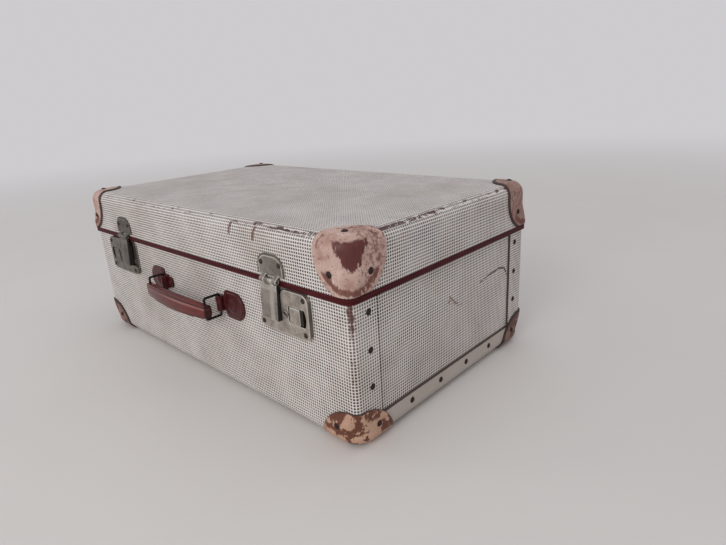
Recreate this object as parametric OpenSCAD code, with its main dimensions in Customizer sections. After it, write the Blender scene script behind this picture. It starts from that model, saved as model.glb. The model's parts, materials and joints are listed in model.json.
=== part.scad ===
// Small travel case of printed fibreboard: a riveted base, a pressed lid on two back hinges,
// pressed corner caps, two hasp locks and a moulded carrying handle on wire loops.
// Millimetres. +X runs along the front, the front faces -Y and +Z is up.

/* [Case] */
// Length of the base along its front
base_l = 496; // [440:1:620]
// Depth of the base from front to back
base_w = 296; // [260:1:380]
// Height of the base rim above the surface the case stands on
base_h = 142; // [130:0.5:170]
// Height of the lid from its rim to its top
lid_h = 55; // [48:0.5:80]
// How far the lid stands out past the base on each side
lid_over = 2; // [1:0.1:4]
// Thickness of the fibreboard
sheet_t = 2; // [1.2:0.1:2.6]
// Upright corner radius of the base at its rim
corner_r = 7; // [5:0.5:8]
// Radius that the upright corners grow to under the corner caps
ball_r = 20; // [18:0.5:22]
// Radius of the base's bottom edges
bottom_r = 12; // [8:0.5:12]
// Radius of the lid's top edges
top_r = 12; // [8:0.5:12]
// Thickness of the paper lining
lining_t = 0.6; // [0.4:0.1:1]

/* [Base ends] */
// Width of the side flanges that are turned round onto the ends
seam_in = 33; // [30:0.5:40]
// Height of the bottom flange's upper edge above the surface the case stands on
flange_h = 27.5; // [24:0.5:32]
// Distance of the seam rivets from the front and back
seam_rivet_in = 21.5; // [21:0.5:26]
// Distance of the highest seam rivet below the rim
seam_rivet_drop = 12; // [10:0.5:14]
// Spacing of the seam rivets
seam_rivet_pitch = 35.5; // [28:0.5:40]
// Number of rivets in each upright seam
seam_rivet_count = 3; // [2:1:3]
// Height of the bottom flange's rivets
flange_rivet_z = 18.5; // [18:0.1:19.5]
// Spacing of the bottom flange's rivets
flange_rivet_pitch = 48; // [36:1:56]
// Number of rivets in each bottom flange
flange_rivet_count = 4; // [2:1:4]

/* [Rim] */
// Height of the binding on the lid's rim
band_h = 5.5; // [4:0.1:7]
// Thickness of the binding
band_t = 0.95; // [0.6:0.05:1.2]
// Gap between the base rim and the closed lid
rim_gap = 0.4; // [0.3:0.05:0.8]
// Thickness of the inner lip that locates the lid
lip_t = 1.6; // [1.2:0.1:2]
// How far the inner lip stands up out of the base
lip_up = 8; // [5:0.5:12]
// How far the inner lip reaches down inside the base
lip_down = 20; // [12:0.5:30]

/* [Corner caps] */
// Thickness of the pressed caps
cap_t = 1.8; // [1.2:0.1:2.2]
// Radius of the ball that trims each lid cap to its rounded outline
lid_cap_r = 38.5; // [35:0.5:42]
// Distance of that ball's centre from the lid's ends
lid_cap_in_x = 1; // [0:0.5:4]
// Distance of that ball's centre from the lid's front and back
lid_cap_in_y = 8; // [5:0.5:9]
// Distance of that ball's centre below the lid's top
lid_cap_drop = 15; // [12:0.5:18]
// Radius of the ball that trims each base cap
base_cap_r = 43; // [39:0.5:46]
// Distance of that ball's centre from the base's sides
base_cap_in = 5; // [3:0.5:7]
// Distance of that ball's centre below the surface the case stands on
base_cap_drop = 2.5; // [1:0.5:5]
// Height over which a corner grows from the rim's radius to the caps' radius
corner_fade = 24; // [20:0.5:28]

/* [Rivets] */
// Diameter of a rivet's head
rivet_head_d = 6.4; // [5:0.1:6.4]
// Height of a rivet's head
rivet_head_h = 1.5; // [1:0.1:2]
// Diameter of a rivet's shank
rivet_d = 3; // [2.4:0.1:3.4]

/* [Locks] */
// Distance of each lock from the middle of the case
lock_x = 152; // [140:1:170]
// Width of the lock's flat plate beside its raised case
lock_flat_w = 33.5; // [32:0.5:36]
// Width of the lock's raised case
lock_case_w = 36.5; // [36.5:0.5:40]
// Height of the lock plate
lock_h = 43; // [42:0.5:48]
// Distance of the lock plate's top below the base rim
lock_drop = 0.7; // [0.5:0.1:2]
// Thickness of the lock's flat plate
lock_flat_t = 1.2; // [0.8:0.1:1.4]
// How far the raised case stands out from the base
lock_case_out = 5; // [4.8:0.1:6]
// Thickness of the raised case's sheet
lock_case_t = 1; // [0.8:0.1:1]
// Corner radius of the lock plate
lock_r = 8; // [5:0.5:8]
// Width of the slide's button
slide_w = 14; // [12:0.5:14]
// Height of the slide's button
slide_h = 16; // [13:0.5:18]
// How far the slide moves away from the hasp to release it
slide_out = 5.5; // [4:0.5:5.5]
// How far the slide moves towards the hasp to hold it
slide_in = 2; // [1.6:0.1:2]
// Distance of the slide's middle below the lock plate's top
slide_drop = 22.8; // [20:0.1:23]
// Diameter of the key barrel
barrel_d = 6.8; // [5:0.1:6.8]

/* [Hasps] */
// Width of each hasp
hasp_w = 24; // [22:0.5:24]
// Thickness of the hasp's and its plate's sheet
hasp_t = 1.2; // [1:0.1:1.3]
// Length of the hasp from its pin to its free end
hasp_len = 37; // [36.5:0.5:38]
// How far the hasp's free end flares out
hasp_flare = 2.5; // [0:0.1:4]
// Width of the hasp's plate on the lid
hasp_plate_w = 38; // [36:0.5:44]
// Height of the hasp's plate on the lid
hasp_plate_h = 20.5; // [18:0.5:23]
// Corner radius of the hasp plate's round top
hasp_plate_r = 13; // [8:0.5:16]
// Height of the hasp's pin above the lid rim
hasp_pin_z = 4.6; // [4:0.1:5]
// Diameter of the hasp's pin
hasp_pin_d = 2.6; // [2:0.1:2.8]
// Outer diameter of the hasp's knuckles
hasp_knuckle_d = 5.2; // [5:0.1:5.6]
// Width of the hasp's middle knuckle
hasp_knuckle_w = 11.6; // [8:0.1:13]

/* [Hinges] */
// Distance of each back hinge from the middle of the case
hinge_x = 150; // [110:1:180]
// Width of each hinge
hinge_w = 42; // [36:1:50]
// Height of the hinge's leaf on the base
hinge_base_h = 26; // [22:0.5:32]
// Height of the hinge's leaf on the lid
hinge_lid_h = 24; // [22:0.5:26]
// Thickness of the hinge's leaves
hinge_t = 1.2; // [1:0.1:1.4]
// Diameter of the hinge's pin
hinge_pin_d = 3; // [2:0.1:3.4]
// Outer diameter of the hinge's knuckles
hinge_knuckle_d = 5.8; // [5.4:0.1:6.4]

/* [Handle] */
// Distance of each wire loop from the middle of the case
loop_x = 59.5; // [56:0.5:68]
// Height of the middle of the keepers and washers
keeper_z = 103.2; // [96:0.1:105]
// Height of each wire loop between its wires' middles
loop_h = 23.5; // [22.5:0.5:28]
// Length of each wire loop between its upright bars
loop_len = 17.5; // [16:0.5:20]
// Distance of the inner upright bar from the base's front
loop_out = 5; // [4.8:0.1:5.4]
// Diameter of the loops' wire
wire_d = 2.6; // [2.2:0.1:3]
// Bend radius of the wire's middle
wire_bend = 1.8; // [1.8:0.1:2.4]
// Height of the keeper strap that holds each loop
keeper_h = 16.5; // [12:0.5:17]
// Thickness of the keeper strap
keeper_t = 2.4; // [2:0.1:2.6]
// Length of the keeper's inner ear
keeper_ear = 10; // [9:0.5:12]
// Height of the keeper's inner ear
keeper_ear_h = 13.5; // [12:0.5:15]
// Radius of the washer's round outer half
washer_r = 15.5; // [14:0.5:18]
// Length of the washer's straight part
washer_straight = 19; // [17:0.5:21]
// Thickness of the washer at its rim
washer_t = 2.4; // [2.3:0.1:2.6]
// Height of the washer's dome above its rim
washer_dome = 2.6; // [2:0.1:3]
// Length of the grip past each loop's bar
grip_end = 3.5; // [3:0.1:5]
// Height of the grip at its middle
grip_h = 19.5; // [18:0.5:24]
// Height of the grip at its ends
grip_end_h = 14.8; // [14:0.2:16]
// Thickness of the grip from front to back
grip_t = 8.6; // [8:0.2:11]
// How far the grip's middle bows out past its ends
grip_bow = 5; // [2:0.5:8]
// Height of the moulded ridges along the grip
grip_ridge = 0.8; // [0.4:0.1:1.2]

/* [Hidden] */
$fn = 96;

// Clearances: pieces that lie on each other, sheets beside each other, turning fits, rivet holes,
// moving parts, and how far a cut runs past a face
lie = 0.05;
skin = 0.1;
run = 0.05;
shank_fit = 0.02;
slack = 0.3;
cut = 1;

// Levels and outer sizes that several pieces share
base_z = cap_t + lie;
lid_l = base_l + 2 * lid_over;
lid_w = base_w + 2 * lid_over;
lid_r = corner_r + lid_over;
lid_z = base_h + rim_gap;
lid_top = lid_z + lid_h;
shell_z = lid_z + band_t;
band_out = lid_over + lie + band_t;
base_fade_z = base_z + bottom_r + corner_fade + cap_t;
lid_fade_z = lid_z + band_h + cap_t;
end_half = base_w / 2 - ball_r;

// Hasp pin and hinge pin, measured out from the base's front and back
hasp_pin_out = band_out + slack + hasp_knuckle_d / 2;
hasp_axis_z = lid_z + hasp_pin_z;
hinge_pin_out = band_out + slack + hinge_knuckle_d / 2;
hinge_axis_z = base_h + rim_gap / 2;

// Lock plate, measured from the middle of the hasp and from the base's front
lock_top = base_h - lock_drop;
lock_bottom = lock_top - lock_h;
hasp_free_z = hasp_axis_z - hasp_len;
hasp_side_gap = 0.5;
bay_z = hasp_free_z - hasp_side_gap;
case_x = hasp_w / 2 + hasp_side_gap;
case_end = case_x + lock_case_w;
flat_x = case_x - lock_flat_w;
inner_out = lock_case_out - lock_case_t;
slide_z = lock_top - slide_drop;
lock_rivet_in = 5.2;
lock_foot_r = min(lock_r, (bay_z - lock_bottom) / 2 - slack);
window_r = 2;
window_bow = 2;
tongue_reach = 7;
tongue_swing = 1.2;
bolt_half = 3.5;
bolt_t = 1.2;
hook_t = 1;
hook_out = 0.4;
bolt_out = hook_out + hook_t + slack;
barrel_flange = 0.7;
barrel_flange_t = 0.6;
barrel_proud = 0.5;
barrel_x = case_x + lock_case_t + barrel_d / 2 + barrel_flange + slack;
slide_x = barrel_x + barrel_d / 2 + barrel_flange + slack + slide_in;
slide_flange = 2;
slide_tail = 1.8;
slide_proud = 0.6;
key_slot_w = 1.2;
key_slot_l = 5;
key_slot_deep = 1.4;
key_slot_turn = -35;

// Handle
keeper_bore = wire_d / 2 + run;
hump_r = keeper_bore + keeper_t;
foot_t = 1.4;
ear_round = 5.5;
washer_x = loop_x + hump_r + slack;
washer_mid = washer_x + washer_straight;
dome_in = 14;
dome_x = washer_x + dome_in;
dome_r = 8;
washer_step = 2.5;
washer_step_t = 0.8;
loop_z = keeper_z + keeper_h / 2 + slack + wire_bend - loop_h / 2;
grip_mid_z = loop_z - loop_h / 2 + wire_bend + slack + grip_end_h / 2;
grip_l = 2 * (loop_x + grip_end);
grip_back = 0.8;
grip_out = loop_out + loop_len - grip_back;
grip_round = 0.62;
grip_steps = 24;
grip_sides = 48;
ridge_turn = 52;
ridge_spread = 9;

// The case is set back so that the origin lies under the middle of everything that stands out
front_reach = grip_out + grip_bow + grip_t / 2;
back_reach = hinge_pin_out + hinge_knuckle_d / 2;
case_y = (front_reach - back_reach) / 2;

board = [0.78, 0.76, 0.73];
paper = [0.80, 0.72, 0.58];
burgundy = [0.38, 0.16, 0.17];
fibre = [0.74, 0.60, 0.53];
nickel = [0.58, 0.57, 0.53];
dark_steel = [0.16, 0.13, 0.12];

// Frames. On a wall, x runs along it, y is the height and z points out of the case.
module in_place() translate([0, case_y, 0]) children();
module on_front(out = 0) translate([0, -base_w / 2 - out, 0]) rotate([90, 0, 0]) children();
module on_back(out = 0) translate([0, base_w / 2 + out, 0]) rotate([90, 0, 180]) children();
module on_right(out = 0) translate([base_l / 2 + out, 0, 0]) rotate([90, 0, 90]) children();
module on_left(out = 0) translate([-base_l / 2 - out, 0, 0]) rotate([90, 0, -90]) children();
module on_side(s) mirror([s < 0 ? 1 : 0, 0, 0]) children();

// A section drawn as distance out from the wall and height, drawn out from x0 to x1
module along_front(x0, x1)
    translate([x1, -base_w / 2, 0]) rotate([90, 0, -90]) linear_extrude(x1 - x0) children();
module along_back(x0, x1)
    translate([x0, base_w / 2, 0]) rotate([90, 0, 90]) linear_extrude(x1 - x0) children();

// Plain outlines
module round_rect(l, w, r) {
    square([l - 2 * r, w], center = true);
    square([l, w - 2 * r], center = true);
    for (sx = [-1, 1], sy = [-1, 1])
        translate([sx * (l / 2 - r), sy * (w / 2 - r)]) circle(r);
}

module round_box(x0, x1, y0, y1, r)
    translate([(x0 + x1) / 2, (y0 + y1) / 2]) round_rect(x1 - x0, y1 - y0, r);

// Strip of sheet metal seen edge on, from p to q
module strip(p, q, t) {
    d = q - p;
    n = [-d.y, d.x] / norm(d) * t / 2;
    polygon([p + n, q + n, q - n, p - n]);
}

// Wall section d deep and h tall with its outer top edge rounded
module edge_section(d, h, r) {
    square([d, h - r]);
    square([d - r, h]);
    translate([d - r, h - r]) intersection() {
        circle(r);
        square(r);
    }
}

// Block on z = 0 with upright corners of radius rv and top edges of radius re
module rounded_block(l, w, h, rv, re) {
    rotate([90, 0, 90]) linear_extrude(l - 2 * rv, center = true)
        for (m = [0, 1]) mirror([m, 0]) edge_section(w / 2, h, re);
    for (m = [0, 1]) mirror([m, 0, 0]) translate([l / 2 - rv, 0, 0]) rotate([90, 0, 0])
        linear_extrude(w - 2 * rv, center = true) edge_section(rv, h, re);
    for (mx = [0, 1], my = [0, 1]) mirror([mx, 0, 0]) mirror([0, my, 0])
        translate([l / 2 - rv, w / 2 - rv, 0]) rotate_extrude(angle = 90) edge_section(rv, h, re);
}

// Posts on z = 0 that fill the corners of such a block out to the smaller radius r, fading away above h
module corner_posts(l, w, h, rv, r) {
    reach = (rv - r) * sqrt(2) + r;
    for (mx = [0, 1], my = [0, 1]) mirror([mx, 0, 0]) mirror([0, my, 0])
        translate([l / 2 - rv, w / 2 - rv, 0]) intersection() {
            linear_extrude(h + corner_fade) {
                square([rv - r, rv]);
                square([rv, rv - r]);
                translate([rv - r, rv - r]) circle(r);
            }
            union() {
                cylinder(r = rv + reach, h = h);
                translate([0, 0, h]) cylinder(r1 = reach + skin, r2 = rv - skin, h = corner_fade);
            }
        }
}

// The base's and the lid's outer forms, grown outwards by g
module base_form(g, over = 0) translate([0, 0, base_h + over]) mirror([0, 0, 1]) {
    rounded_block(base_l + 2 * g, base_w + 2 * g, base_h + over - base_z + g, ball_r + g, bottom_r + g);
    corner_posts(base_l + 2 * g, base_w + 2 * g, base_h + over - base_fade_z, ball_r + g, corner_r + g);
}

module lid_form(g, under = 0) translate([0, 0, shell_z - under]) {
    rounded_block(lid_l + 2 * g, lid_w + 2 * g, lid_top - shell_z + under + g, ball_r + g, top_r + g);
    corner_posts(lid_l + 2 * g, lid_w + 2 * g, lid_fade_z - shell_z + under, ball_r + g, lid_r + g);
}

// Rivets: dome head on z = 0, shank down through the given thickness
module rivet(grip, head_d = rivet_head_d) {
    dome_r = (head_d * head_d / 4 + rivet_head_h * rivet_head_h) / (2 * rivet_head_h);
    rotate_extrude() {
        translate([0, -grip]) square([rivet_d / 2, grip]);
        intersection() {
            translate([0, rivet_head_h - dome_r]) circle(dome_r);
            square([head_d / 2, rivet_head_h]);
        }
    }
}

module rivet_hole(deep) translate([0, 0, -deep]) cylinder(d = rivet_d + 2 * shank_fit, h = 2 * deep);

// Places of the rivets, as [along the wall, height]
seam_rivets = [for (s = [-1, 1], i = [0 : seam_rivet_count - 1])
    [s * (base_w / 2 - seam_rivet_in), base_h - seam_rivet_drop - i * seam_rivet_pitch]];
flange_rivets = [for (i = [0 : flange_rivet_count - 1])
    [(i - (flange_rivet_count - 1) / 2) * flange_rivet_pitch, flange_rivet_z]];
end_rivet_places = concat(seam_rivets, flange_rivets);
base_cap_rivet_in = 25.5;
base_cap_rivet_z = base_z + bottom_r + rivet_head_d;
lid_cap_rivet_x = 19.5;
lid_cap_rivet_y = 25;
lid_cap_rivet_drop = 31;
lid_cap_rivet_top = top_r + rivet_head_d / 2 + slack;
lock_flat_rivets = [[flat_x + lock_rivet_in, lock_top - lock_rivet_in]];
lock_case_rivets = [
    [case_end - lock_rivet_in, lock_top - lock_rivet_in],
    [case_end - lock_rivet_in, lock_bottom + lock_rivet_in],
    [flat_x + lock_rivet_in, lock_bottom + lock_rivet_in]
];
lock_head_d = 5.2;
hasp_plate_lift = 2.9;
hasp_plate_z = lid_z + band_h + hasp_plate_lift;
hasp_rivet_x = 13;
hasp_rivet_up = 11.4;
hasp_plate_rivets_at = [for (s = [-1, 1]) [s * hasp_rivet_x, hasp_plate_z + hasp_rivet_up]];
hinge_rivet_in = 8;
hinge_rivet_x = hinge_w / 2 - hinge_rivet_in;
hinge_leaf_r = 3;
hinge_base_drop = 5;
hinge_base_top = base_h - hinge_base_drop;
hinge_lid_lift = 2.1;
hinge_lid_bottom = lid_z + band_h + hinge_lid_lift;
ear_rivet_x = loop_x - hump_r - keeper_ear / 2;

// Turns a shape that is made at the front right corner to the other corners
module at_corner(sx, sy) mirror([sx < 0 ? 1 : 0, 0, 0]) mirror([0, sy > 0 ? 1 : 0, 0]) children();

module base_cap_front_place(out)
    on_front(out) translate([base_l / 2 - base_cap_rivet_in, base_cap_rivet_z]) children();
module base_cap_end_place(out)
    on_right(out) translate([-(base_w / 2 - base_cap_rivet_in), base_cap_rivet_z]) children();
module base_cap_places(out) {
    base_cap_front_place(out) children();
    base_cap_end_place(out) children();
}

module lid_cap_places(out) {
    on_front(lid_over + out)
        translate([lid_l / 2 - lid_cap_rivet_x, lid_top - lid_cap_rivet_drop]) children();
    on_right(lid_over + out)
        translate([-(lid_w / 2 - lid_cap_rivet_y), lid_top - lid_cap_rivet_drop]) children();
    translate([lid_l / 2 - lid_cap_rivet_top, -(lid_w / 2 - lid_cap_rivet_top), lid_top + out]) children();
}

module lock_places() on_front() translate([lock_x, 0]) children();
module hinge_back_places(z, out)
    for (s = [-1, 1], r = [-1, 1]) on_back(out) translate([s * hinge_x + r * hinge_rivet_x, z]) children();

hinge_base_rivet_z = hinge_base_top - hinge_base_h / 2;
hinge_lid_rivet_z = hinge_lid_bottom + hinge_lid_h / 2;

// Base: one sheet forms the front, bottom and back, with flanges turned onto the ends
module base_wrap() color(board) in_place() difference() {
    base_form(0);
    base_form(-sheet_t, cut);
    for (m = [0, 1]) mirror([m, 0, 0])
        translate([base_l / 2 - ball_r / 2, seam_in - base_w / 2, flange_h])
            cube([ball_r, base_w - 2 * seam_in, base_h]);
    for (sx = [-1, 1], sy = [-1, 1]) at_corner(sx, sy) base_cap_places(0) rivet_hole(2 * sheet_t);
    for (p = end_rivet_places) {
        on_right() translate(p) rivet_hole(2 * sheet_t);
        on_left() translate(p) rivet_hole(2 * sheet_t);
    }
    for (s = [-1, 1]) on_side(s) {
        for (p = concat(lock_flat_rivets, lock_case_rivets))
            lock_places() translate(p) rivet_hole(2 * sheet_t);
        for (x = [ear_rivet_x, dome_x]) on_front() translate([x, keeper_z]) rivet_hole(2 * sheet_t);
    }
    hinge_back_places(hinge_base_rivet_z, 0) rivet_hole(2 * sheet_t);
}

// Panel that closes one end, behind the flanges
module base_end(s) color(board) in_place() on_side(s) difference() {
    on_right(-2 * sheet_t - lie) translate([0, (base_z + bottom_r + base_h) / 2])
        linear_extrude(sheet_t) square([2 * (end_half - skin), base_h - base_z - bottom_r], center = true);
    for (p = end_rivet_places) on_right() translate(p) rivet_hole(3 * sheet_t);
    for (sy = [-1, 1]) at_corner(1, sy) base_cap_end_place(0) rivet_hole(3 * sheet_t);
}
module base_end_left() base_end(-1);
module base_end_right() base_end(1);

// Ring inside the rim that the lid drops over
lip_l = base_l - 4 * sheet_t - 2 * lie - 2 * skin;
lip_w = base_w - 2 * sheet_t - 2 * skin;
lip_r = ball_r;
module base_rim_lip() color(fibre) in_place()
    translate([0, 0, base_h - lip_down]) linear_extrude(lip_down + lip_up) difference() {
        round_rect(lip_l, lip_w, lip_r);
        round_rect(lip_l - 2 * lip_t, lip_w - 2 * lip_t, lip_r - lip_t);
    }

// Paper lining of the base, up to the lip
lining_top = base_h - lip_down - slack;
module base_lining_form(g, over)
    translate([0, 0, lining_top + over]) mirror([0, 0, 1])
        rounded_block(lip_l + 2 * g, lip_w + 2 * g, lining_top + over - base_z - sheet_t - skin + g,
            lip_r + g, bottom_r - sheet_t + g);
module base_lining() color(paper) in_place() difference() {
    base_lining_form(0, 0);
    base_lining_form(-lining_t, cut);
}

// Pressed cap on a bottom corner
module base_cap(sx, sy) color(fibre) in_place() at_corner(sx, sy) difference() {
    intersection() {
        translate([base_l / 2 - base_cap_in, -(base_w / 2 - base_cap_in), -base_cap_drop]) sphere(base_cap_r);
        difference() {
            base_form(lie + cap_t);
            base_form(lie, cut);
        }
    }
    base_cap_places(lie) rivet_hole(2 * cap_t);
}
module base_cap_front_left() base_cap(-1, -1);
module base_cap_front_right() base_cap(1, -1);
module base_cap_back_left() base_cap(-1, 1);
module base_cap_back_right() base_cap(1, 1);

module base_cap_rivets() color(dark_steel) in_place()
    for (sx = [-1, 1], sy = [-1, 1]) at_corner(sx, sy) {
        base_cap_front_place(cap_t + lie) rivet(cap_t + lie + sheet_t);
        base_cap_end_place(cap_t + lie) rivet(cap_t + 2 * lie + 2 * sheet_t);
    }

module end_rivets(s) color(dark_steel) in_place() on_side(s)
    for (p = end_rivet_places) on_right() translate(p) rivet(2 * sheet_t + lie);
module end_rivets_left() end_rivets(-1);
module end_rivets_right() end_rivets(1);

// Lock: a flat bay under the hasp, and a raised case beside and below it for the bolt
module lock_raised(inset) {
    round_box(case_x + inset, case_end - inset, lock_bottom + inset, lock_top - inset, lock_r - inset);
    round_box(flat_x + inset, case_end - inset, lock_bottom + inset, bay_z - inset,
        lock_foot_r - inset);
}
module slide_window() {
    end = slide_x + slide_w + slide_out + slack;
    half = slide_h / 2 + slack;
    bow_r = (half * half + window_bow * window_bow) / (2 * window_bow);
    round_box(slide_x - slide_in - slack, end, slide_z - half, slide_z + half, window_r);
    intersection() {
        translate([end + window_bow - bow_r, slide_z]) circle(bow_r);
        translate([end - window_r, slide_z - half]) square([window_r + window_bow, 2 * half]);
    }
}
module lock_plate_shape() difference() {
    union() {
        linear_extrude(lock_flat_t)
            round_box(flat_x, case_end, lock_bottom, lock_top, lock_r);
        linear_extrude(lock_case_out) lock_raised(0);
    }
    // hollow behind the raised face
    translate([0, 0, -cut]) linear_extrude(inner_out + cut) lock_raised(lock_case_t);
    // window of the slide, hole of the key barrel
    linear_extrude(2 * lock_case_out) slide_window();
    translate([barrel_x, slide_z, 0]) cylinder(d = barrel_d + 2 * run, h = 2 * lock_case_out);
    // way of the bolt through the case's side, and of the hasp's tongue through the plate
    translate([case_x - cut, slide_z - bolt_half - slack, -cut])
        cube([lock_case_t + 2 * cut, 2 * (bolt_half + slack), bolt_out + bolt_t + slack + cut]);
    translate([hasp_w / 2 - hasp_t - 2 * slack, slide_z - tongue_reach - tongue_swing, -cut])
        cube([hasp_t + 2 * slack + hasp_side_gap, lock_h, lock_flat_t + 2 * cut]);
    for (p = concat(lock_flat_rivets, lock_case_rivets)) translate(p) rivet_hole(2 * lock_case_out);
}
module lock_plate(s) color(nickel) in_place() on_side(s)
    lock_places() translate([0, 0, lie]) lock_plate_shape();
module lock_plate_left() lock_plate(-1);
module lock_plate_right() lock_plate(1);

module lock_rivets() color(dark_steel) in_place() for (s = [-1, 1]) on_side(s) lock_places() {
    for (p = lock_flat_rivets) translate([p.x, p.y, lie + lock_flat_t])
        rivet(lie + lock_flat_t + sheet_t, lock_head_d);
    for (p = lock_case_rivets) translate([p.x, p.y, lie + lock_case_out])
        rivet(lie + lock_case_out + sheet_t, lock_head_d);
}

// Slide: button in the window, a flange that keeps it in the case, and the bolt
module slide(s) color(nickel) in_place() on_side(s) lock_places() {
    back = bolt_out + lie;
    flange_top = lie + inner_out - slack;
    translate([0, 0, back]) linear_extrude(lie + lock_case_out + slide_proud - back)
        round_box(slide_x, slide_x + slide_w, slide_z - slide_h / 2, slide_z + slide_h / 2, window_r - slack);
    translate([slide_x, slide_z - slide_h / 2 - slide_flange, back])
        cube([slide_w + slide_tail, slide_h + 2 * slide_flange, flange_top - back]);
    translate([hasp_w / 2 + 2 * slack, slide_z - bolt_half, back])
        cube([slide_x - hasp_w / 2 - 2 * slack + cut, 2 * bolt_half, bolt_t]);
}
module slide_left() slide(-1);
module slide_right() slide(1);

// Key barrel: turns in the raised face, held by a flange behind it
module key_barrel(s) color(nickel) in_place() on_side(s) lock_places() translate([barrel_x, slide_z, lie])
    difference() {
        union() {
            top = lock_case_out + barrel_proud;
            foot = inner_out - slack - barrel_flange_t;
            translate([0, 0, foot]) cylinder(d = barrel_d, h = top - foot);
            translate([0, 0, foot]) cylinder(d = barrel_d + 2 * barrel_flange, h = barrel_flange_t);
        }
        translate([0, 0, lock_case_out + barrel_proud - key_slot_deep]) rotate(key_slot_turn)
            linear_extrude(2 * key_slot_deep) square([key_slot_l, key_slot_w], center = true);
    }
module key_barrel_left() key_barrel(-1);
module key_barrel_right() key_barrel(1);

// Hasp plate on the lid, curled into two knuckles over the binding
hasp_axis = [hasp_pin_out, hasp_axis_z];
hasp_curl = [0.35, 0.74];
plate_out = lid_over + lie;
module knuckle_ring(axis, outer_d, pin_d) translate(axis) difference() {
    circle(d = outer_d);
    circle(d = pin_d + 2 * run);
}
module hasp_plate(s) color(nickel) in_place() on_side(s) difference() {
    translate([lock_x, 0, 0]) {
        on_front(plate_out) linear_extrude(hasp_t) intersection() {
            round_box(-hasp_plate_w / 2, hasp_plate_w / 2, hasp_plate_z - 2 * hasp_plate_r,
                hasp_plate_z + hasp_plate_h, hasp_plate_r);
            translate([-hasp_plate_w, hasp_plate_z]) square([2 * hasp_plate_w, 2 * hasp_plate_h]);
        }
        for (k = [-1, 1]) mirror([k < 0 ? 1 : 0, 0, 0])
            along_front(hasp_knuckle_w / 2 + slack, hasp_w / 2) {
                knuckle_ring(hasp_axis, hasp_knuckle_d, hasp_pin_d);
                difference() {
                    strip([plate_out + hasp_t / 2, hasp_plate_z + hasp_t],
                        hasp_axis + hasp_knuckle_d / 2 * hasp_curl, hasp_t);
                    translate(hasp_axis) circle(d = hasp_knuckle_d - hasp_t);
                }
            }
        }
    lock_places() for (p = hasp_plate_rivets_at) translate(p) rivet_hole(4 * sheet_t);
}
module hasp_plate_left() hasp_plate(-1);
module hasp_plate_right() hasp_plate(1);

module hasp_plate_rivets() color(dark_steel) in_place() for (s = [-1, 1]) on_side(s)
    lock_places() for (p = hasp_plate_rivets_at)
        translate([p.x, p.y, plate_out + hasp_t]) rivet(hasp_t + lie + sheet_t, lock_head_d);

module hasp_pin(s) color(nickel) in_place() on_side(s)
    translate([lock_x - hasp_w / 2, -base_w / 2 - hasp_pin_out, hasp_axis_z])
        rotate([0, 90, 0]) cylinder(d = hasp_pin_d, h = hasp_w);
module hasp_pin_left() hasp_pin(-1);
module hasp_pin_right() hasp_pin(1);

// Hasp: a pressed tray with a flared free end, and a tongue with a hole for the bolt
hasp_face = hasp_pin_out + hasp_t;
hasp_wide_z = hasp_axis_z - hasp_knuckle_d / 2 - 2 * slack;
hasp_back = lock_flat_t + 4 * slack;
hasp_heel = 2;
hasp_slope = 10;
module hasp_face_section(top) polygon([
    [hasp_face - hasp_t, top], [hasp_face, top],
    [hasp_face + hasp_flare, hasp_free_z], [hasp_face + hasp_flare - hasp_t, hasp_free_z]
]);
module hasp_side_section() polygon([
    [hasp_face - hasp_t, hasp_wide_z], [hasp_face + hasp_flare - hasp_t / 2, hasp_free_z],
    [hasp_back + hasp_heel, hasp_free_z], [hasp_back, hasp_free_z + hasp_heel],
    [hasp_back, hasp_wide_z - hasp_slope], [hasp_face - 2 * hasp_t, hasp_wide_z - hasp_heel]
]);
module hasp(s) color(nickel) in_place() on_side(s) translate([lock_x, 0, 0]) difference() {
    union() {
        along_front(-hasp_w / 2, hasp_w / 2) hasp_face_section(hasp_wide_z);
        for (x = [-hasp_w / 2, hasp_w / 2 - hasp_t]) along_front(x, x + hasp_t) hasp_side_section();
        along_front(-hasp_knuckle_w / 2, hasp_knuckle_w / 2) {
            knuckle_ring(hasp_axis, hasp_knuckle_d, hasp_pin_d);
            difference() {
                hasp_face_section(hasp_axis_z);
                translate(hasp_axis) circle(d = hasp_knuckle_d - hasp_t);
            }
        }
        along_front(hasp_w / 2 - hasp_t, hasp_w / 2)
            translate([hook_out + lie, slide_z - tongue_reach])
                square([hasp_back - hook_out + hook_t, 2 * tongue_reach]);
    }
    along_front(hasp_w / 2 - 2 * hasp_t, hasp_w / 2 + cut)
        translate([hook_out + hook_t + lie, slide_z - bolt_half - 2 * slack])
            square([bolt_t + 2 * slack, 2 * (bolt_half + 2 * slack)]);
}
module hasp_left() hasp(-1);
module hasp_right() hasp(1);

// Handle washer: D-shaped, domed, with a channel behind it for the keeper's foot
module washer_outline(inset) {
    translate([washer_mid, keeper_z]) intersection() {
        circle(washer_r - inset);
        translate([0, -washer_r]) square(2 * washer_r);
    }
    translate([washer_x + inset, keeper_z - washer_r + inset])
        square([washer_straight - inset, 2 * (washer_r - inset)]);
}
module handle_washer(s) color(burgundy) in_place() on_side(s) on_front(lie) difference() {
    union() {
        linear_extrude(washer_t - washer_step_t) washer_outline(0);
        linear_extrude(washer_t) washer_outline(washer_step);
        dome_ball = (dome_r * dome_r + washer_dome * washer_dome) / (2 * washer_dome);
        translate([dome_x, keeper_z, washer_t]) intersection() {
            translate([0, 0, washer_dome - dome_ball]) sphere(dome_ball);
            cylinder(r = dome_r + cut, h = washer_dome + cut);
        }
    }
    translate([washer_x - cut, keeper_z - keeper_h / 2 - skin, -cut])
        cube([dome_in + dome_r + cut + skin, keeper_h + 2 * skin, foot_t + skin + cut]);
    translate([dome_x, keeper_z, 0]) cylinder(d = rivet_d + 2 * shank_fit, h = washer_t + skin);
}
module handle_washer_left() handle_washer(-1);
module handle_washer_right() handle_washer(1);

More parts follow.
